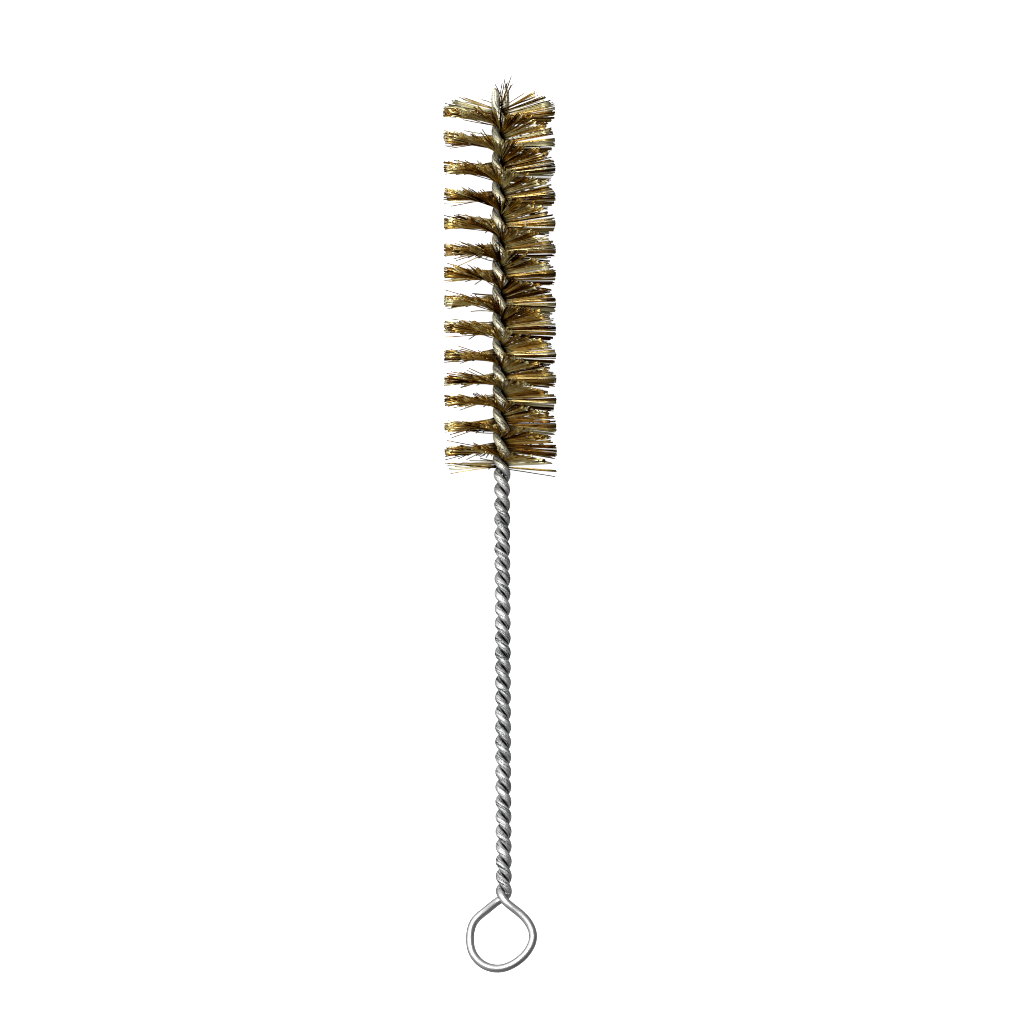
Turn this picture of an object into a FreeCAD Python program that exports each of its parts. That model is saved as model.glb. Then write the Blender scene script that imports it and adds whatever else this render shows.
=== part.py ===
import FreeCAD, Part
import math
import os

os.makedirs("parts", exist_ok=True)

Vector = FreeCAD.Vector

# A twisted-in-wire brush. One steel wire is bent double. The bend is the hanging eye, its two legs are
# twisted together into the stem, and beyond the stem they grip a band of brass bristles.
# The brush lies along Y, tip towards +Y. The stem's axis is the Y axis, the eye lies in the XY plane,
# and Y = 0 is level with the eye's widest point.

# Driving dimensions, in millimetres.
WIRE_D = 2.66            # galvanised steel wire
STEM_GAP = 0.02          # between the two legs where they are twisted tightly together
BAND_T = 0.7             # the bristles between the two legs, packed solid
STEM_START = 15.3        # where the legs of the eye have crossed and first lie side by side
STEM_HALF_TURN = 4.982   # length of half a turn of the stem
STEM_HALF_TURNS = 28
PARTING = 1.8            # the legs part over this length before they grip the first bristles
BRUSH_D = 38.0           # across the tips of the bristles
CUT_END = 5.6            # how far the cut ends of the legs run on past the last tuft
CUT_END_TURN = 20.0      # degrees over which the twist dies away in the cut ends
TIP_REACH = 2.4          # how far the filaments at the tip stand up past the cut ends
TIP_WIDTH = 2.4          # across those filaments

# Half turns of the head from the stem to the tip, one to a tuft. The twist opens out round the bristles,
# and it isn't quite even.
TUFT_LENGTHS = [5.3, 7.8, 8.1, 7.4, 7.4, 8.2, 8.9, 9.0, 8.7, 8.6, 8.8, 9.0, 9.5, 9.4, 9.1]

# The eye's centre line, from the front leg round to the back leg: a slightly flattened teardrop whose
# legs cross a wire's thickness apart.
EYE_POINTS = [
    (0.0, 12.3, 1.5),
    (4.1, 8.6, 1.2),
    (7.9, 4.8, 0.8),
    (9.5, 0.0, 0.5),
    (7.6, -5.0, 0.3),
    (4.0, -8.4, 0.15),
    (-0.8, -10.4, 0.0),
    (-6.2, -9.5, -0.15),
    (-10.1, -5.5, -0.3),
    (-11.1, 0.0, -0.5),
    (-9.8, 5.2, -0.8),
    (-5.6, 9.3, -1.2),
    (-1.0, 12.9, -1.8),
]

LEAD_IN = 40.0           # degrees of the stem's twist that the legs of the eye already follow
EYE_POINTS_PER_EDGE = 4
STEPS_PER_HALF_TURN = 6  # points on a core wire's centre line
CUT_END_STEPS = 4        # and on its cut end

# Worked out from the driving dimensions.
WIRE_R = WIRE_D / 2
STEM_COIL_R = (WIRE_D + STEM_GAP) / 2
HEAD_COIL_R = (WIRE_D + BAND_T) / 2
HEAD_START = STEM_START + STEM_HALF_TURNS * STEM_HALF_TURN
HEAD_END = HEAD_START + sum(TUFT_LENGTHS)
WIRE_END = HEAD_END + CUT_END
TIP_END = WIRE_END + TIP_REACH

# The two legs are half a turn apart. Leg a lies on the -X side where the stem starts.
LEG_PHASES = {"a": 180.0, "b": 0.0}


def coil_point(radius, degrees, y):
    """A point round the Y axis. The twist is left-handed, so the angle grows from +X through +Z."""
    angle = math.radians(degrees)
    return Vector(radius * math.cos(angle), y, radius * math.sin(angle))


def left_helix(radius, length, half_turn):
    """A left-handed helix round the Y axis, starting at +X."""
    helix = Part.makeHelix(2 * half_turn, length, radius, 0, True)
    helix.rotate(Vector(0, 0, 0), Vector(1, 0, 0), -90)
    return Part.Wire(helix.Edges)


def turn_and_lift(shape, degrees, y):
    """Turn a shape from +X through +Z and move it along the Y axis."""
    shape.rotate(Vector(0, 0, 0), Vector(0, 1, 0), -degrees)
    shape.translate(Vector(0, y, 0))
    return shape


def smooth_path(points, points_per_edge):
    """One smooth curve through the points, cut into edges so that each is swept exactly."""
    curve = Part.BSplineCurve()
    curve.interpolate(points)
    knots = curve.getKnots()
    cuts = knots[:-1:points_per_edge] + [knots[-1]]
    return Part.Wire([curve.toShape(start, end) for start, end in zip(cuts, cuts[1:])])


def wire_along(path, frenet=False):
    """The steel wire swept along a path."""
    first = path.Edges[0]
    start = first.valueAt(first.FirstParameter)
    direction = first.tangentAt(first.FirstParameter)
    profile = Part.Wire([Part.makeCircle(WIRE_R, start, direction)])
    return path.makePipeShell([profile], True, frenet)


def hanging_eye():
    """The bend of the wire, from where leg a leaves the stem round to where leg b enters it."""
    lower = STEM_START - STEM_HALF_TURN * LEAD_IN / 180.0
    points = [
        coil_point(STEM_COIL_R, LEG_PHASES["a"], STEM_START),
        coil_point(STEM_COIL_R, LEG_PHASES["a"] - LEAD_IN, lower),
    ]
    points += [Vector(*point) for point in EYE_POINTS]
    points += [
        coil_point(STEM_COIL_R, LEG_PHASES["b"] - LEAD_IN, lower),
        coil_point(STEM_COIL_R, LEG_PHASES["b"], STEM_START),
    ]
    return wire_along(smooth_path(points, EYE_POINTS_PER_EDGE))


def stem_wire(phase):
    """One leg of the wire along the stem, where the lead is constant."""
    helix = left_helix(STEM_COIL_R, STEM_HALF_TURNS * STEM_HALF_TURN, STEM_HALF_TURN)
    return turn_and_lift(wire_along(helix, True), phase, STEM_START)


def core_radius(y):
    """How far a leg's centre line lies from the axis as the legs part round the first bristles."""
    share = min(1.0, (y - HEAD_START) / PARTING)
    return STEM_COIL_R + (HEAD_COIL_R - STEM_COIL_R) * share * share * (3.0 - 2.0 * share)


def core_wire(phase):
    """The same leg in the head, where the twist opens out round the bristles, up to its cut end."""
    turned = phase + 180.0 * STEM_HALF_TURNS
    low = HEAD_START
    points = []
    for length in TUFT_LENGTHS:
        for step in range(STEPS_PER_HALF_TURN):
            share = step / STEPS_PER_HALF_TURN
            y = low + share * length
            points.append(coil_point(core_radius(y), turned + 180.0 * share, y))
        turned += 180.0
        low += length
    for step in range(CUT_END_STEPS + 1):
        share = step / CUT_END_STEPS
        dying = CUT_END_TURN * share * (2.0 - share)
        points.append(coil_point(HEAD_COIL_R, turned + dying, HEAD_END + share * CUT_END))
    return wire_along(smooth_path(points, STEPS_PER_HALF_TURN))


def bristle_tuft(number, low, length):
    """One tuft: a thin flat strip, as wide as its bristles are long, that twists with the legs and always
    crosses the line between them at a right angle. The first tuft starts where the legs have parted."""
    start = PARTING if number == 1 else 0.0
    spine = Part.Wire([Part.makeLine(Vector(0, 0, 0), Vector(0, length - start, 0))])
    corners = [(-1, -1), (1, -1), (1, 1), (-1, 1), (-1, -1)]
    strip = Part.makePolygon([Vector(x * BRUSH_D / 2, 0, z * BAND_T / 2) for x, z in corners])
    sweep = Part.BRepOffsetAPI.MakePipeShell(spine)
    sweep.setAuxiliarySpine(left_helix(BRUSH_D / 2, length - start, length), True, 0)
    sweep.add(strip)
    sweep.build()
    sweep.makeSolid()
    turned = 180.0 * (number - 1 + start / length)
    return turn_and_lift(sweep.shape(), turned + 90.0, low + start)


def tip_filaments():
    """The filaments that stand up between the cut ends."""
    corner = Vector(-BAND_T / 2, HEAD_END, -TIP_WIDTH / 2)
    return Part.makeBox(BAND_T, TIP_END - HEAD_END, TIP_WIDTH, corner)


def save(node, shape):
    """Write one node and print what it measures."""
    solids = shape.Solids
    assert shape.isValid() and len(solids) == 1, node
    solids[0].exportStep(os.path.join("parts", node + ".step"))
    print(node, "volume", round(solids[0].Volume, 1), "mm3")


save("hanging_eye", hanging_eye())
for leg, leg_phase in LEG_PHASES.items():
    save("stem_wire_" + leg, stem_wire(leg_phase))
    save("core_wire_" + leg, core_wire(leg_phase))

tuft_low = HEAD_START
for tuft_number, tuft_length in enumerate(TUFT_LENGTHS, start=1):
    save("bristle_tuft_%02d" % tuft_number, bristle_tuft(tuft_number, tuft_low, tuft_length))
    tuft_low += tuft_length
save("tip_filaments", tip_filaments())
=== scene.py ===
import math

import bpy
import numpy as np
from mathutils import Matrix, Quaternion, Vector


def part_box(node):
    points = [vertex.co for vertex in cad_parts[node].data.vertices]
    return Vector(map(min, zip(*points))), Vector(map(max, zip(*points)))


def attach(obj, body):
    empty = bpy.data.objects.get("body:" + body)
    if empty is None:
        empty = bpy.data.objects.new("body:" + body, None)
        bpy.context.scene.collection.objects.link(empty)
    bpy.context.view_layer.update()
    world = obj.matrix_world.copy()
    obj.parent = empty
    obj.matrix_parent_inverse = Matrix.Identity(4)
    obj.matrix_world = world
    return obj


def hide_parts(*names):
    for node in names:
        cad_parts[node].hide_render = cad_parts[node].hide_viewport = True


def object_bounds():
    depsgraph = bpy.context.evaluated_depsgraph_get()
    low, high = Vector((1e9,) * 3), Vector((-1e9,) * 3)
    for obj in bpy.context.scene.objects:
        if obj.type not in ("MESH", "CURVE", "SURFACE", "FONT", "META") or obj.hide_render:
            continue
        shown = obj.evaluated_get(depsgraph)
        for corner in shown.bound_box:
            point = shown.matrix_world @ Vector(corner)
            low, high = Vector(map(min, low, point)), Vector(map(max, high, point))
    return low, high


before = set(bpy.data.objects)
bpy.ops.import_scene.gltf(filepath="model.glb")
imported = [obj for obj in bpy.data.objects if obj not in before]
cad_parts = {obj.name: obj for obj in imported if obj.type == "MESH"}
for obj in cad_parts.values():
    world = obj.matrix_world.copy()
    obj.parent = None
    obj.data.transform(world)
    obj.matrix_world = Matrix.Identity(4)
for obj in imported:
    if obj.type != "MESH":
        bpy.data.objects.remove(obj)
cad_low, cad_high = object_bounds()

# A twisted-in-wire brush: one steel wire bent double, its bend the hanging eye, its two legs twisted into
# the stem and then round a band of brass filaments.
# Everything below is worked out in millimetres and degrees, in the frame's own axes: the brush lies along
# Y with its tip towards +Y, and Z is up. Meshes are scaled to metres as they are made.
MM = 0.001
TIPWARD = np.array([0.0, 1.0, 0.0])
FLAT = np.array([1.0, 0.0, 1.0])     # times a vector, leaves what lies across the brush

WIRE_R = 1.33
STEM_COIL_R = 1.34       # centre line of a leg, from the brush's axis, where the legs are twisted tightly
HEAD_COIL_R = 1.68       # the same where the legs grip the bristles
PARTING = (-2.0, 3.0)    # the legs part over this stretch, from the start of the head
STEM_START = 15.3
STEM_HALF_TURN = 4.982   # length of half a turn
STEM_HALF_TURNS = 28
CUT_END_TURN = 20.0      # degrees over which the twist dies away in the cut ends
LEG_A = math.pi          # angle of each leg where the stem starts, in radians
LEG_B = 0.0

# The eye's centre line, from the front leg round to the back leg.
EYE_POINTS = [
    (0.0, 12.3, 1.5),
    (4.1, 8.6, 1.2),
    (7.9, 4.8, 0.8),
    (9.5, 0.0, 0.5),
    (7.6, -5.0, 0.3),
    (4.0, -8.4, 0.15),
    (-0.8, -10.4, 0.0),
    (-6.2, -9.5, -0.15),
    (-10.1, -5.5, -0.3),
    (-11.1, 0.0, -0.5),
    (-9.8, 5.2, -0.8),
    (-5.6, 9.3, -1.2),
    (-1.0, 12.9, -1.8),
]


def node_span(node):
    """Lowest and highest y of a CAD node."""
    low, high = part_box(node)
    return low[1] / MM, high[1] / MM


TUFTS = sorted(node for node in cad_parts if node.startswith("bristle_tuft_"))
TUFT_ENDS = [node_span(tuft)[1] for tuft in TUFTS]
HEAD_START = STEM_START + STEM_HALF_TURNS * STEM_HALF_TURN
HEAD_END = TUFT_ENDS[-1]
WIRE_END = node_span("core_wire_a")[1]
TIP_END = node_span("tip_filaments")[1]
BRUSH_R = cad_high[2] / MM


# ---------------------------------------------------------------- the twist

STEM_RATE = 1.0 / STEM_HALF_TURN
HEAD_TURNS = STEM_HALF_TURNS + len(TUFTS)
# Half turns counted from the start of the stem: even along it, then one to each tuft.
TURN_PLACES = [STEM_START, HEAD_START, *TUFT_ENDS, WIRE_END]
TURN_COUNTS = [0.0, *range(STEM_HALF_TURNS, HEAD_TURNS + 1), HEAD_TURNS + CUT_END_TURN / 180.0]
TURN_SMOOTHING = np.linspace(-1.2, 1.2, 9)


def smooth_step(x, low, high):
    """From 0 at low to 1 at high, level at both."""
    t = np.clip((x - low) / (high - low), 0.0, 1.0)
    return t * t * (3 - 2 * t)


def stretch_step(y, place, stretch):
    """The same over a stretch that is given from a place on the brush."""
    return smooth_step(y, place + stretch[0], place + stretch[1])


def half_turns(y):
    """Half turns up to y, the corners between one tuft's pitch and the next rounded off."""
    spread = np.asarray(y)[..., None] + TURN_SMOOTHING
    turns = np.interp(spread, TURN_PLACES, TURN_COUNTS)
    turns = turns + np.minimum(0.0, spread - STEM_START) * STEM_RATE
    return turns.mean(axis=-1)


def leg_angle(y, phase):
    """Angle of a leg round the Y axis, growing from +X through +Z."""
    return phase + math.pi * half_turns(y)


def coil_radius(y):
    """How far a leg's centre line lies from the axis."""
    return STEM_COIL_R + (HEAD_COIL_R - STEM_COIL_R) * stretch_step(y, HEAD_START, PARTING)


def round_y(radius, angle, y):
    """Points round the Y axis."""
    return np.stack([radius * np.cos(angle), y + 0 * angle, radius * np.sin(angle)], axis=-1)


# ---------------------------------------------------------------- meshes

def unit(vectors):
    """The vectors at unit length."""
    return vectors / np.linalg.norm(vectors, axis=-1, keepdims=True)


def tangents(paths):
    """The direction of each path at each of its points."""
    return unit(np.gradient(paths, axis=-2))


def across_path(vectors, along):
    """The vectors turned square to a path's direction, at unit length."""
    return unit(vectors - along * (vectors * along).sum(axis=1, keepdims=True))


def tube_faces(count, points, sides):
    """The sides of closed tubes as quads, and their flat ends, as numbers of vertices."""
    base = np.arange(count)[:, None, None] * points * sides
    row = base + np.arange(points - 1)[None, :, None] * sides
    corner = np.arange(sides)[None, None, :]
    beside = (corner + 1) % sides
    quads = np.stack(
        [row + corner, row + beside, row + sides + beside, row + sides + corner],
        axis=-1,
    ).reshape(-1, 4)
    first_ends = base[:, 0] + np.arange(sides)[None, ::-1]
    last_ends = base[:, 0] + (points - 1) * sides + np.arange(sides)[None, :]
    return quads.tolist(), first_ends.tolist() + last_ends.tolist()


def tube_mesh(name, paths, side, up, width, height, sides):
    """One closed tube round each path. All arrays are (paths, points, 3), or (paths, points) for sizes."""
    count, points = paths.shape[:2]
    turn = np.arange(sides) * 2 * math.pi / sides
    ring = (
        np.cos(turn)[:, None] * (side * width[..., None])[:, :, None, :]
        + np.sin(turn)[:, None] * (up * height[..., None])[:, :, None, :]
    )
    vertices = (paths[:, :, None, :] + ring).reshape(-1, 3) * MM
    quads, ends = tube_faces(count, points, sides)
    mesh = bpy.data.meshes.new(name)
    mesh.from_pydata(vertices.tolist(), [], quads + ends)
    smooth = np.ones(len(mesh.polygons), dtype=bool)
    smooth[len(quads):] = False
    mesh.polygons.foreach_set("use_smooth", smooth)
    mesh.validate()
    return mesh


def add_values(mesh, name, values):
    """A number on each vertex, for the material to read."""
    layer = mesh.attributes.new(name, "FLOAT", "POINT")
    layer.data.foreach_set("value", np.ascontiguousarray(values, dtype=np.float32).ravel())


def add_piece(mesh, material, slot, *nodes):
    """Put a mesh in the scene as the visible form of some CAD nodes."""
    piece = bpy.data.objects.new(mesh.name, mesh)
    bpy.context.scene.collection.objects.link(piece)
    mesh.materials.append(material)
    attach(piece, "root")
    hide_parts(*nodes)


# ---------------------------------------------------------------- materials

class Nodes:
    """A short way to write a material's or the world's node tree."""

    def __init__(self, owner):
        owner.use_nodes = True
        self.tree = owner.node_tree
        self.tree.nodes.clear()

    def add(self, kind, inputs=None, **settings):
        node = self.tree.nodes.new(kind)
        for name, value in settings.items():
            setattr(node, name, value)
        for name, value in (inputs or {}).items():
            if isinstance(value, bpy.types.NodeSocket):
                self.tree.links.new(value, node.inputs[name])
            else:
                node.inputs[name].default_value = value
        return node

    def ramp(self, factor, stops):
        """Colours at places along a range, blended in between."""
        node = self.add("ShaderNodeValToRGB", {"Fac": factor})
        while len(node.color_ramp.elements) < len(stops):
            node.color_ramp.elements.new(0.5)
        for element, (place, colour) in zip(node.color_ramp.elements, stops):
            element.position = place
            element.color = (*colour, 1.0)
        return node.outputs["Color"]

    def mix(self, factor, low, high, blend="MIX"):
        """From one colour to another, or to another blend of the two, as the factor goes from 0 to 1."""
        return self.add("ShaderNodeMix", {
            "Factor": factor, "A": low, "B": high,
        }, data_type="RGBA", blend_type=blend).outputs["Result"]

    def math(self, operation, a, b):
        """A sum, product or the like of two values."""
        return self.add("ShaderNodeMath", {0: a, 1: b}, operation=operation).outputs[0]

    def weighted(self, a, weight_a, b, weight_b):
        """The sum of two values, each times its weight."""
        return self.math("ADD", self.math("MULTIPLY", a, weight_a), self.math("MULTIPLY", b, weight_b))

    def value(self, name):
        """A number that the mesh carries."""
        return self.add("ShaderNodeAttribute", attribute_name=name).outputs["Fac"]

    def noise(self, place, scale):
        """A smooth random value at each place."""
        return self.add("ShaderNodeTexNoise", {
            "Vector": place, "Scale": scale, "Detail": 3.0, "Roughness": 0.6,
        }).outputs["Fac"]

    def spread(self, value, low, high, to_low, to_high):
        """The value moved from one range to another."""
        return self.add("ShaderNodeMapRange", {
            "Value": value, "From Min": low, "From Max": high, "To Min": to_low, "To Max": to_high,
        }).outputs["Result"]


def steel_material():
    """Drawn, galvanised steel wire: a grey zinc skin with fine lines along the wire, marked where it was
    twisted, with a painted reflection of brass in the head and painted shade where the legs meet."""
    material = bpy.data.materials.new("galvanised_wire")
    nodes = Nodes(material)
    place = nodes.add("ShaderNodeCombineXYZ", {
        "X": nodes.value("around_x"), "Y": nodes.value("around_y"), "Z": nodes.value("along"),
    }).outputs["Vector"]
    drawn_out = nodes.add("ShaderNodeMapping", {"Vector": place, "Scale": (1.0, 1.0, 0.08)})
    lines = nodes.noise(drawn_out.outputs["Vector"], 2.0)
    grain = nodes.noise(place, 3.2)
    mixed = nodes.weighted(lines, 0.6, grain, 0.4)
    worked = nodes.value("worked")
    marked = nodes.ramp(mixed, [
        (0.42, (0.04, 0.042, 0.045)),
        (0.47, (0.36, 0.365, 0.37)),
        (0.52, (0.68, 0.685, 0.68)),
        (0.58, (0.88, 0.88, 0.87)),
    ])
    plain = nodes.ramp(mixed, [
        (0.38, (0.40, 0.40, 0.41)),
        (0.50, (0.57, 0.57, 0.57)),
        (0.62, (0.74, 0.74, 0.73)),
    ])
    zinc = nodes.mix(worked, plain, marked)
    # Painted reflection: the wire in the head lighter and warmer, for the brass light round it.
    brass_reflection = nodes.mix(nodes.value("in_head"), zinc, (1.35, 1.3, 1.0, 1.0), "MULTIPLY")
    # Painted shade: the wire goes near black in the crevices where the legs meet.
    colour = nodes.mix(nodes.value("painted_shade"), brass_reflection, (0.008, 0.008, 0.008, 1.0))
    marked_roughness = nodes.spread(mixed, 0.4, 0.6, 0.66, 0.46)
    roughness = nodes.math("MULTIPLY", marked_roughness, nodes.spread(worked, 0.0, 1.0, 0.7, 1.0))
    bump = nodes.add("ShaderNodeBump", {
        "Height": nodes.math("ADD", lines, nodes.math("MULTIPLY", grain, 0.5)),
        "Strength": nodes.spread(worked, 0.0, 1.0, 0.3, 1.0),
        "Distance": 0.0003,
    }).outputs["Normal"]
    shader = nodes.add("ShaderNodeBsdfPrincipled", {
        "Base Color": colour, "Metallic": 1.0, "Roughness": roughness, "Normal": bump,
        "Specular Tint": (0.28, 0.28, 0.29, 1.0),
    })
    nodes.add("ShaderNodeOutputMaterial", {"Surface": shader.outputs["BSDF"]})
    return material


def brass_material():
    """Drawn brass filaments: each a little different, with painted shade at the root and towards the
    outside, and dark on the sheared end."""
    material = bpy.data.materials.new("brass_filament")
    nodes = Nodes(material)
    place = nodes.add("ShaderNodeTexCoord").outputs["Object"]
    stain = nodes.noise(place, 160.0)
    brass = nodes.ramp(nodes.weighted(nodes.value("tint"), 0.8, stain, 0.3), [
        (0.18, (0.055, 0.017, 0.004)),
        (0.40, (0.38, 0.18, 0.026)),
        (0.60, (0.90, 0.64, 0.17)),
        (0.84, (1.0, 0.94, 0.56)),
    ])
    reach = nodes.value("reach")
    # Painted shade at the roots, where the filaments crowd round the core.
    root = nodes.spread(reach, 0.12, 0.32, 1.0, 0.0)
    # Painted shade: the outer part of each filament a little darker, against the light that falls on it
    # there.
    outer_shade = nodes.spread(reach, 0.7, 0.95, 0.0, 0.22)
    end = nodes.spread(reach, 0.975, 0.99, 0.0, 0.85)
    darkened = nodes.math("MAXIMUM", root, nodes.math("MAXIMUM", outer_shade, end))
    shader = nodes.add("ShaderNodeBsdfPrincipled", {
        "Base Color": nodes.mix(darkened, brass, (0.02, 0.01, 0.004, 1.0)),
        "Metallic": 1.0,
        "Roughness": nodes.spread(stain, 0.3, 0.7, 0.28, 0.4),
        "Specular Tint": (0.3, 0.22, 0.15, 1.0),
    })
    nodes.add("ShaderNodeOutputMaterial", {"Surface": shader.outputs["BSDF"]})
    return material


def floor_material():
    """A white table in the picture that throws little light back up at the brush."""
    material = bpy.data.materials.new("pale_floor")
    nodes = Nodes(material)
    white = nodes.add("ShaderNodeBsdfPrincipled", {
        "Base Color": (0.5, 0.5, 0.5, 1.0), "Roughness": 0.9,
        "Emission Color": (1.0, 1.0, 1.0, 1.0), "Emission Strength": 0.9,
    }).outputs["BSDF"]
    grey = nodes.add("ShaderNodeBsdfDiffuse", {"Color": (0.25, 0.25, 0.25, 1.0)}).outputs["BSDF"]
    seen = nodes.add("ShaderNodeLightPath").outputs["Is Camera Ray"]
    both = nodes.add("ShaderNodeMixShader", {0: seen, 1: grey, 2: white}).outputs["Shader"]
    nodes.add("ShaderNodeOutputMaterial", {"Surface": both})
    return material


# ---------------------------------------------------------------- the wire

EYE_RING_SPACING = 0.3
LEG_RING_SPACING = 0.8 * EYE_RING_SPACING    # along Y
WIRE_SIDES = 24
END_MARGIN = 0.02        # between the cut ends and the end of their CAD nodes
EYE_LEADS = np.array([1.5, 1.0, 0.5, 0.0])   # points of the stem, from its start, that lead the eye in
EYE_LEAD_IN = 1.1        # length of the stem's twist that the legs of the eye already follow
NIP_LENGTH = 1.6         # of an end that was pressed flat as it was nipped off
NIP_THINNING = 0.55      # of the wire's thickness there
NIP_WIDENING = 0.08
# Painted shade in the crevices between the legs, standing in for their shadow; the light comes from the
# left.
SHADE_SEARCH = np.arange(-2.4, 2.41, 0.2)    # along Y, from a point to the nearest part of the other leg
SHADE_EDGE = (0.5, 0.62)                     # distance from the other leg's surface where the painted shade ends
SHADE_ON_LEFT = 0.2      # share of the painted shade on the left of the brush, the side the light comes from
SHADE_LEFT_EDGE = (-1.1, 0.1)                # x over which it grows to the whole
WORKED_STRETCH = (-2.3, 1.7)                 # from the start of the stem, where the wire becomes marked
BRASS_REFLECTION_STRETCH = (0.0, 8.0)                  # from the start of the head, where the painted reflection of brass sets in


def second_derivatives(points, steps):
    """Second derivatives, at its points, of the natural cubic spline through them."""
    size = len(points)
    system = np.eye(size)
    right = np.zeros((size, 3))
    for i in range(1, size - 1):
        system[i, i - 1:i + 2] = steps[i - 1], 2 * (steps[i - 1] + steps[i]), steps[i]
        behind = (points[i] - points[i - 1]) / steps[i - 1]
        ahead = (points[i + 1] - points[i]) / steps[i]
        right[i] = 6 * (ahead - behind)
    return np.linalg.solve(system, right)


def spline_through(points, spacing):
    """A natural cubic spline through the points, sampled about every spacing."""
    points = np.array(points, dtype=float)
    steps = np.linalg.norm(np.diff(points, axis=0), axis=1)
    second = second_derivatives(points, steps)
    samples = []
    for i, step in enumerate(steps):
        t = np.linspace(0, step, max(2, int(step / spacing)), endpoint=False)[:, None]
        samples.append(
            points[i]
            + t * ((points[i + 1] - points[i]) / step - step * (2 * second[i] + second[i + 1]) / 6)
            + t * t * second[i] / 2
            + t ** 3 * (second[i + 1] - second[i]) / (6 * step)
        )
    samples.append(points[-1:])
    return np.concatenate(samples)


def leg_path(phase):
    """One leg's centre line from the start of the stem to its cut end."""
    y = np.arange(STEM_START, WIRE_END - END_MARGIN, LEG_RING_SPACING)
    return round_y(coil_radius(y), leg_angle(y, phase), y)


def eye_path():
    """The eye's centre line, led in and out by a few points of the stem."""
    lead_y = STEM_START + EYE_LEADS
    lower_y = STEM_START - EYE_LEAD_IN
    lower_turn = EYE_LEAD_IN * STEM_RATE * math.pi
    knots = list(round_y(STEM_COIL_R, leg_angle(lead_y, LEG_A), lead_y))
    knots += list(round_y(STEM_COIL_R, np.array([LEG_A - lower_turn]), lower_y))
    knots += [np.array(point) for point in EYE_POINTS]
    knots += list(round_y(STEM_COIL_R, np.array([LEG_B - lower_turn]), lower_y))
    knots += list(round_y(STEM_COIL_R, leg_angle(lead_y[::-1], LEG_B), lead_y[::-1]))
    path = spline_through(knots, EYE_RING_SPACING)
    start = np.linalg.norm(path - knots[len(EYE_LEADS) - 1], axis=1).argmin()
    end = np.linalg.norm(path - knots[-len(EYE_LEADS)], axis=1).argmin()
    return path[start:end + 1]


def carried_normals(path, first, last):
    """Normals carried along a path without twisting, then turned evenly so that they end at last."""
    along = tangents(path[None])[0]
    normals = [first]
    for direction in along[1:]:
        flat = normals[-1] - direction * normals[-1].dot(direction)
        normals.append(flat / np.linalg.norm(flat))
    normals = np.array(normals)
    across = np.cross(along[-1], normals[-1])
    missing = math.atan2(last.dot(across), last.dot(normals[-1]))
    angle = (missing * np.linspace(0, 1, len(path)))[:, None]
    return normals * np.cos(angle) + np.cross(along, normals) * np.sin(angle)


def outward_normals(path):
    """Normals of a leg that always face away from the brush's axis, as drawn lines on twisted wire do."""
    return across_path(path * FLAT, tangents(path[None])[0])


def whole_wire(leg_a, leg_b):
    """The wire's centre line from one cut end to the other, its normals and the directions beside them."""
    eye = eye_path()
    normal_a = outward_normals(leg_a)
    normal_b = outward_normals(leg_b)
    normal_eye = carried_normals(eye, normal_a[-1], normal_b[0])
    path = np.concatenate([leg_a, eye[1:-1], leg_b])
    along = tangents(path[None])[0]
    normal = across_path(np.concatenate([normal_a, normal_eye[1:-1], normal_b]), along)
    return path, normal, np.cross(along, normal)


def wire_spans(leg_a, leg_b, count):
    """First and last ring of each piece of the wire, out of count. Neighbours share a ring."""
    head_a = int(np.argmax(leg_a[:, 1] < HEAD_START))
    stem_a = len(leg_a) - 1
    stem_b = count - len(leg_b)
    head_b = stem_b + int(np.argmax(leg_b[:, 1] > HEAD_START))
    return {
        "core_wire_a": (0, head_a),
        "stem_wire_a": (head_a, stem_a),
        "hanging_eye": (stem_a, stem_b),
        "stem_wire_b": (stem_b, head_b),
        "core_wire_b": (head_b, count - 1),
    }


def nipped_end(distance):
    """Thickness and width of the wire, as shares of its own, from the distance to its nearer end."""
    pressed = 1 - smooth_step(distance, 0.0, NIP_LENGTH)
    return 1 - NIP_THINNING * pressed, 1 + NIP_WIDENING * pressed


def distance_to_leg(points, leg):
    """From each point to the nearest part of a leg's centre line."""
    line = leg[np.argsort(leg[:, 1])]
    nearest = np.full(len(points), np.inf)
    for slip in SHADE_SEARCH:
        on_line = np.stack(
            [np.interp(points[:, 1] + slip, line[:, 1], line[:, axis]) for axis in range(3)], axis=-1
        )
        nearest = np.minimum(nearest, np.linalg.norm(points - on_line, axis=1))
    return nearest


def painted_crevice_shade(mesh, leg_a, leg_b):
    """Painted shade on each point of a wire: where the other leg is close, more on the right, away from the
    light.
    """
    points = np.empty(len(mesh.vertices) * 3, dtype=np.float32)
    mesh.vertices.foreach_get("co", points)
    points = points.reshape(-1, 3) / MM
    other_leg = np.maximum(distance_to_leg(points, leg_a), distance_to_leg(points, leg_b))
    near = 1 - smooth_step(other_leg - WIRE_R, *SHADE_EDGE)
    return near * (SHADE_ON_LEFT + (1 - SHADE_ON_LEFT) * smooth_step(points[:, 0], *SHADE_LEFT_EDGE))


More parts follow.
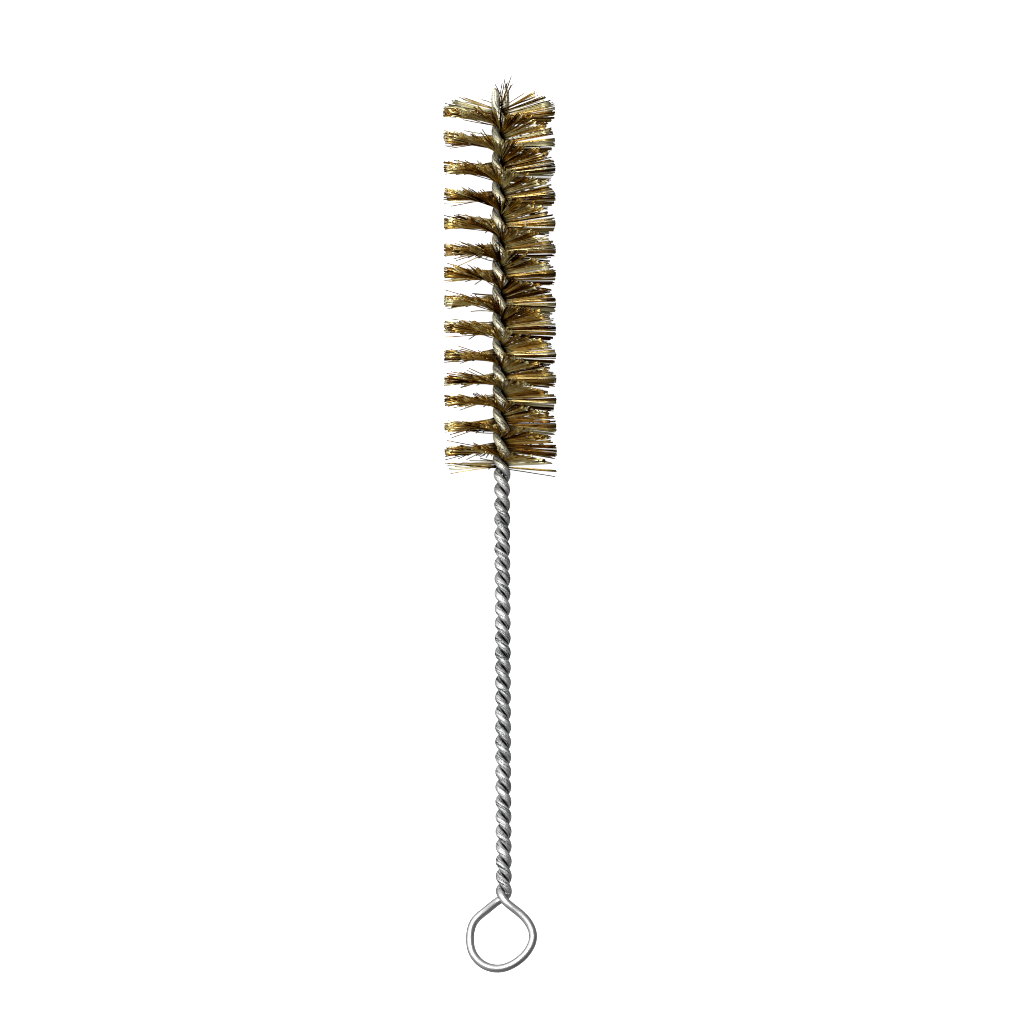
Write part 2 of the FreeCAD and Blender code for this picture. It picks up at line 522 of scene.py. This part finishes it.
def make_wire(material):
    """The whole wire, in one piece for each of its CAD nodes."""
    leg_a = leg_path(LEG_A)[::-1]
    leg_b = leg_path(LEG_B)
    path, normal, across = whole_wire(leg_a, leg_b)
    length = np.concatenate([[0.0], np.cumsum(np.linalg.norm(np.diff(path, axis=0), axis=1))])
    thin, wide = nipped_end(np.minimum(length, length[-1] - length))
    worked = stretch_step(path[:, 1], STEM_START, WORKED_STRETCH)
    # Where the painted reflection of brass in the head sets in.
    brass_reflection = stretch_step(path[:, 1], HEAD_START, BRASS_REFLECTION_STRETCH)
    turn = np.arange(WIRE_SIDES) * 2 * math.pi / WIRE_SIDES
    for node, (first, last) in wire_spans(leg_a, leg_b, len(path)).items():
        part = slice(first, last + 1)
        rings = last - first + 1
        mesh = tube_mesh(
            "wire_" + node, path[None, part], normal[None, part], across[None, part],
            WIRE_R * thin[None, part], WIRE_R * wide[None, part], WIRE_SIDES,
        )
        add_values(mesh, "around_x", np.tile(np.cos(turn) * WIRE_R, rings))
        add_values(mesh, "around_y", np.tile(np.sin(turn) * WIRE_R, rings))
        add_values(mesh, "along", np.repeat(length[part], WIRE_SIDES))
        # Painted shade where the legs meet, heavier on the right.
        add_values(mesh, "painted_shade", painted_crevice_shade(mesh, leg_a, leg_b))
        add_values(mesh, "worked", np.repeat(worked[part], WIRE_SIDES))
        add_values(mesh, "in_head", np.repeat(brass_reflection[part], WIRE_SIDES))
        add_piece(mesh, material, "steel_wire", node)


# ---------------------------------------------------------------- the bristles

SEED = 11
FILAMENT_R = 0.16
FILAMENT_SIDES = 5
FILAMENTS_PER_MM = 22.0
GRIP_HALF_GAP = 0.22     # how far a filament's centre lies from the middle of the gap between the legs
REACH = np.array([0.0, 0.07, 0.16, 0.3, 0.46, 0.64, 0.82, 1.0])   # points along half a filament
FILAMENT_HALF = 19.8     # half the length that a filament was cut to, before the brush was trimmed round

# The bristles are trimmed round a line this far down and left of the brush's axis.
TRIM_CENTRE = -0.43
TRIM_AXIS = TRIM_CENTRE * FLAT
TRIM_R = BRUSH_R + TRIM_CENTRE
TRIM_MARGIN = 0.03       # between the longest filaments and the brush's outline
TRIM_UNEVENNESS = 0.1
SHORT_SHARE = 0.1        # of the filaments end short of it, by this much
SHORT_BY = (0.3, 2.4)
TOP_MARGIN = 0.2         # between the highest filament and the top of the CAD
LEAST_RISE = 0.01        # stands in for the rise of filaments that don't rise, which can't pass that top

# Lean of the filaments towards the tip. On the right it changes slowly along the head, on the left each
# row has its own.
LEAN_RIGHT_PLACES = [0.0, 0.04, 0.3, 0.6, 0.85, 0.95, 1.0]    # as shares of the head
LEAN_RIGHT = [-6.0, -4.0, 0.5, 3.0, 7.0, 8.0, 5.0]
LEAN_LEFT = [0.5, -4.5, -2.3, 1.0, 0.2, 1.0, 5.0, 4.7, 6.6, 2.0, 6.0, 6.5, 7.5, 8.5, 4.0]
LEAN_LEFT_END = 30.0     # of the last filaments, which splay over the end of the head
SPLAYED_ROOT = 0.5       # how far from the end of the head those are rooted
LEAN_BACK_START = 10.0   # more for the first filaments at the back, beside the stem
LEAN_BACK_STRETCH = (5.0, 12.0)     # from the start of the head, over which that dies away
LEFT_EDGE = (-0.7, 0.7)  # the lean of the left takes over as a filament's direction goes this far left
BACK_EDGE = (0.3, 0.9)   # and the lean of the back is added as it goes this far back

# Neighbouring filaments hang together in locks. Single ones are scattered about their lock.
LOCK_SPACING = 0.2
LOCK_UNEVENNESS = 0.09
LOCK_GATHER = 0.8        # how far the filaments of a lock turn towards its middle
LOCK_LEAN = 2.0
LOCK_SWAY = 2.2
LEAN_SCATTER = 1.0
SWAY_SCATTER = 0.7
CURL_SCATTER = 1.3
SCATTER_RIGHT = 1.0      # how many times that on the right
SCATTER_LEFT = 2.4       # and on the left
SCATTER_END = 0.8        # added to it towards the end of the head
SCATTER_END_STRETCH = (-4.0, 0.0)   # from the end of the head
STRAY_SHARE = 0.02       # of the filaments are strays, scattered this many times wider
STRAY_SCATTER = 2.5

# The ends of the head are sparse.
FIRST_STRETCH = (2.0, 3.4)          # from the start of the head, over which the bristles begin
THIN_SHARE = 0.45                   # of the usual number, up to the stretch in which they reach it
THIN_STRETCH = (4.0, 6.5)
LAST_LOSS = 0.8                     # share of them that is missing past the last stretch
LAST_STRETCH = (-3.4, -1.4)         # from the end of the head

# Tints run from 0, dark, to 1, pale. These are means and spreads.
LOCK_TINT = (0.53, 0.32)
FILAMENT_TINT = (0.0, 0.1)          # added to the lock's
END_DARKENING = 0.35                # taken off it at the end of the head
END_DARK_STRETCH = (-3.0, -1.2)     # from the end of the head

# The filaments that stand up between the cut ends.
TIP_COUNT = 8
TIP_TINT = (0.15, 0.15)
TIP_ROOT = 1.0           # how far below the end of the head they are rooted
TIP_X = (-0.9, 1.6)      # where they are rooted
TIP_Z = (-0.6, 0.6)
TIP_UNEVENNESS = 1.6     # of their height
TIP_LEAN = 0.1           # as a share of their height


def lean_at(y, left, back):
    """Lean of filaments rooted at y, from how far to the left and to the back they point, 0 to 1."""
    along = (y - HEAD_START) / (HEAD_END - HEAD_START)
    on_right = np.interp(along, LEAN_RIGHT_PLACES, LEAN_RIGHT)
    rows = [(low + high) / 2 for low, high in zip([HEAD_START, *TUFT_ENDS], TUFT_ENDS)]
    on_left = np.interp(y, [*rows, HEAD_END - SPLAYED_ROOT], [*LEAN_LEFT, LEAN_LEFT_END])
    at_back = LEAN_BACK_START * back * (1 - stretch_step(y, HEAD_START, LEAN_BACK_STRETCH))
    return on_right * (1 - left) + on_left * left + at_back


def looseness(y, left, random):
    """How many times wider than usual each filament is scattered about its lock."""
    loose = np.where(random.uniform(0, 1, len(y)) < STRAY_SHARE, STRAY_SCATTER, 1.0)
    loose = loose + SCATTER_END * stretch_step(y, HEAD_END, SCATTER_END_STRETCH)
    return loose * (SCATTER_RIGHT + (SCATTER_LEFT - SCATTER_RIGHT) * left)


def thinning(y):
    """Share of the filaments that are there."""
    first = stretch_step(y, HEAD_START, FIRST_STRETCH)
    second = THIN_SHARE + (1 - THIN_SHARE) * stretch_step(y, HEAD_START, THIN_STRETCH)
    last = 1 - LAST_LOSS * stretch_step(y, HEAD_END, LAST_STRETCH)
    return first * second * last


def rooted_at(low, high, random):
    """Heights at which the filaments of a tuft are gripped."""
    count = int(round((high - low) * FILAMENTS_PER_MM))
    y = low + (np.arange(count) + random.uniform(0, 1, count)) / count * (high - low)
    return y[random.uniform(0, 1, count) < thinning(y)]


def trim_radii(count, random):
    """Where each filament was cut off, from the line that the brush was trimmed round."""
    short = np.where(random.uniform(0, 1, count) < SHORT_SHARE, random.uniform(*SHORT_BY, count), 0.0)
    return TRIM_R - TRIM_MARGIN - np.abs(random.normal(0, TRIM_UNEVENNESS, count)) - short


def trim_share(start, end, trim):
    """Share of the way from start to end at which the distance from their common axis reaches trim."""
    way = (end - start) * FLAT
    a = (way * way).sum(axis=1)
    b = (way * start * FLAT).sum(axis=1)
    c = (start * start * FLAT).sum(axis=1) - trim * trim
    return (-b + np.sqrt(b * b - a * c)) / a


def half_filaments(root, outward, sideways, lean, sway, curl, trim):
    """Centre lines from the roots outwards, cut off at the brush's round outline and below its top."""
    step = np.diff(REACH * FILAMENT_HALF, prepend=0.0)
    lean_here = lean[:, None] + curl[:, None] * (REACH[None, :] - 0.5)
    ahead = (
        outward[:, None, :] * (np.cos(lean_here) * np.cos(sway)[:, None])[..., None]
        + sideways[:, None, :] * (np.cos(lean_here) * np.sin(sway)[:, None])[..., None]
        + TIPWARD * np.sin(lean_here)[..., None]
    )
    offset = np.cumsum(ahead * step[None, :, None], axis=1)
    share = trim_share(root - TRIM_AXIS, root + offset[:, -1] - TRIM_AXIS, trim)
    headroom = (TIP_END - TOP_MARGIN - root[:, 1]) / np.maximum(LEAST_RISE, offset[:, -1, 1])
    return root[:, None, :] + offset * np.minimum(1.0, np.minimum(share, headroom))[:, None, None]


def half_tuft(root, outward, sideways, gather, lock_lean, lock_sway, random):
    """The halves of a tuft's filaments that leave the grip on one side."""
    y = root[:, 1]
    count = len(y)
    left = smooth_step(-outward[:, 0], *LEFT_EDGE)
    back = smooth_step(-outward[:, 2], *BACK_EDGE)
    loose = looseness(y, left, random)
    lean = lean_at(y, left, back) + lock_lean + random.normal(0, LEAN_SCATTER, count) * loose
    sway = gather + lock_sway + random.normal(0, SWAY_SCATTER, count) * loose
    curl = random.normal(0, CURL_SCATTER, count) * loose
    trim = trim_radii(count, random)
    return half_filaments(
        root, outward, sideways, np.radians(lean), np.radians(sway), np.radians(curl), trim
    )


def make_tuft(node, material, random, locks):
    """One tuft's filaments, each a line through the grip with a half on either side."""
    y = rooted_at(*node_span(node), random)
    count = len(y)
    lock = np.abs(y[:, None] - locks["y"][None, :]).argmin(axis=1)
    gather = LOCK_GATHER * 180.0 * (half_turns(locks["y"][lock]) - half_turns(y))
    gap_angle = leg_angle(y, LEG_B)
    gap_side = np.stack([np.cos(gap_angle), 0 * y, np.sin(gap_angle)], axis=-1)
    band = np.stack([-np.sin(gap_angle), 0 * y, np.cos(gap_angle)], axis=-1)
    root = np.stack([0 * y, y, 0 * y], axis=-1)
    root = root + gap_side * random.uniform(-GRIP_HALF_GAP, GRIP_HALF_GAP, count)[:, None]
    first, second = [
        half_tuft(
            root, band * sign, gap_side * -sign, gather,
            locks[sign]["lean"][lock], locks[sign]["sway"][lock], random,
        )
        for sign in (-1.0, 1.0)
    ]
    paths = np.concatenate([first[:, :0:-1], second], axis=1)
    tint = locks["tint"][lock] + random.normal(*FILAMENT_TINT, count)
    tint = tint - END_DARKENING * stretch_step(y, HEAD_END, END_DARK_STRETCH)
    make_filaments("filaments_" + node, node, paths, tint, material, TIPWARD)


def make_filaments(name, node, paths, tint, material, reference):
    """Thin closed tubes along the paths, as one piece that stands for one CAD node. The reference is a
    direction that no path follows."""
    along = tangents(paths)
    side = unit(np.cross(along, reference))
    up = np.cross(side, along)
    size = np.full(paths.shape[:2], FILAMENT_R)
    mesh = tube_mesh(name, paths, side, up, size, size, FILAMENT_SIDES)
    points = paths.shape[1]
    reach = np.hypot(paths[..., 0] - TRIM_CENTRE, paths[..., 2] - TRIM_CENTRE) / TRIM_R
    add_values(mesh, "tint", np.repeat(np.clip(tint, 0, 1), points * FILAMENT_SIDES))
    add_values(mesh, "reach", np.repeat(reach.ravel(), FILAMENT_SIDES))
    add_piece(mesh, material, "brass_bristle", node)


def make_tip_filaments(material, random):
    """The few filaments that stand up between the cut ends."""
    start_x = random.uniform(*TIP_X, TIP_COUNT)
    start_z = random.uniform(*TIP_Z, TIP_COUNT)
    start = np.stack([start_x, np.full(TIP_COUNT, HEAD_END - TIP_ROOT), start_z], axis=-1)
    top = TIP_END - np.abs(random.normal(0, TIP_UNEVENNESS, TIP_COUNT)) - TOP_MARGIN
    top[0] = TIP_END - TOP_MARGIN
    lean = random.normal(0, TIP_LEAN, (TIP_COUNT, 2))
    tint = random.normal(*TIP_TINT, TIP_COUNT)
    share = REACH[None, :, None]
    rise = (top - start[:, 1])[:, None, None] * share
    drift = np.stack([lean[:, 0], np.zeros(TIP_COUNT), lean[:, 1]], axis=-1)[:, None, :]
    paths = start[:, None, :] + rise * (TIPWARD + drift * share)
    make_filaments("filaments_tip", "tip_filaments", paths, tint, material, np.array([1.0, 0.0, 0.0]))


def make_bristles(material):
    """All the filaments, drawn from one seeded series."""
    random = np.random.default_rng(SEED)
    places = np.arange(HEAD_START, HEAD_END, LOCK_SPACING)
    count = len(places)
    locks = {
        sign: {"lean": random.normal(0, LOCK_LEAN, count), "sway": random.normal(0, LOCK_SWAY, count)}
        for sign in (-1.0, 1.0)
    }
    locks["y"] = places + random.uniform(-LOCK_UNEVENNESS, LOCK_UNEVENNESS, count)
    locks["tint"] = random.normal(*LOCK_TINT, count)
    for node in TUFTS:
        make_tuft(node, material, random, locks)
    make_tip_filaments(material, random)


# ---------------------------------------------------------------- floor, light and camera

VIEW_ELEVATION = 77.5
VIEW_WIDTH = 336.5       # of the picture, at the brush
VIEW_CENTRE = (3.23, 142.32, 0.0)
VIEW_DISTANCE = 6000.0
VIEW_ROLL = -0.25
SENSOR_WIDTH = 36.0
FLOOR_HALF = 4000.0
KEY_TOWARDS = (-0.36, 0.05, 0.93)
KEY_DISTANCE = 1200.0
KEY_SIZE = 550.0
KEY_WATTS = 12.5
GLOW_TOWARDS = (-0.75, 0.5, 0.42)    # where the world around the brush is brightest


def make_floor():
    """The table that the brush lies on."""
    half = FLOOR_HALF * MM
    z = -BRUSH_R * MM
    corners = [(-half, -half, z), (half, -half, z), (half, half, z), (-half, half, z)]
    mesh = bpy.data.meshes.new("floor")
    mesh.from_pydata(corners, [], [(0, 1, 2, 3)])
    floor = bpy.data.objects.new("floor", mesh)
    bpy.context.scene.collection.objects.link(floor)
    mesh.materials.append(floor_material())


def make_world():
    """White in the picture, and a soft grey that is brighter on the upper left for all that it lights."""
    world = bpy.data.worlds.new("studio")
    bpy.context.scene.world = world
    nodes = Nodes(world)
    direction = nodes.add("ShaderNodeTexCoord").outputs["Generated"]
    towards_glow = nodes.add("ShaderNodeVectorMath", {
        0: direction, 1: tuple(Vector(GLOW_TOWARDS).normalized()),
    }, operation="DOT_PRODUCT").outputs["Value"]
    colour = nodes.ramp(nodes.spread(towards_glow, -0.6, 1.0, 0.0, 1.0), [
        (0.0, (0.05, 0.05, 0.05)),
        (0.4, (0.26, 0.26, 0.26)),
        (0.6, (0.5, 0.5, 0.5)),
        (0.85, (1.2, 1.2, 1.2)),
    ])
    seen = nodes.add("ShaderNodeLightPath").outputs["Is Camera Ray"]
    shown = nodes.mix(seen, colour, (1.0, 1.0, 1.0, 1.0))
    background = nodes.add("ShaderNodeBackground", {"Color": shown}).outputs["Background"]
    nodes.add("ShaderNodeOutputWorld", {"Surface": background})


def make_key_light():
    """One soft light above, a little to the left."""
    light = bpy.data.lights.new("key", "AREA")
    light.size = KEY_SIZE * MM
    light.energy = KEY_WATTS
    lamp = bpy.data.objects.new("key", light)
    bpy.context.scene.collection.objects.link(lamp)
    centre = Vector(VIEW_CENTRE) * MM
    lamp.location = centre + Vector(KEY_TOWARDS).normalized() * (KEY_DISTANCE * MM)
    lamp.rotation_mode = "QUATERNION"
    lamp.rotation_quaternion = (centre - lamp.location).to_track_quat("-Z", "Y")


def make_camera():
    """Nearly straight above the brush, from far away."""
    camera = bpy.data.cameras.new("camera")
    camera.sensor_width = SENSOR_WIDTH
    camera.lens = camera.sensor_width * VIEW_DISTANCE / VIEW_WIDTH
    camera.clip_end = 3 * VIEW_DISTANCE * MM
    eye = bpy.data.objects.new("camera", camera)
    bpy.context.scene.collection.objects.link(eye)
    elevation = math.radians(VIEW_ELEVATION)
    back = Vector((0.0, -math.cos(elevation), math.sin(elevation)))
    eye.location = (Vector(VIEW_CENTRE) + back * VIEW_DISTANCE) * MM
    roll = Quaternion(back, math.radians(VIEW_ROLL))
    eye.rotation_mode = "QUATERNION"
    eye.rotation_quaternion = roll @ (-back).to_track_quat("-Z", "Y")
    bpy.context.scene.camera = eye


def set_look():
    """Plain colours, no fireflies, and a pixel filter narrow enough for thin filaments."""
    bpy.context.scene.view_settings.view_transform = "Standard"
    bpy.context.scene.cycles.sample_clamp_indirect = 1.0
    bpy.context.scene.cycles.filter_width = 1.1


make_camera()
make_world()
make_key_light()
make_floor()
make_wire(steel_material())
make_bristles(brass_material())
set_look()
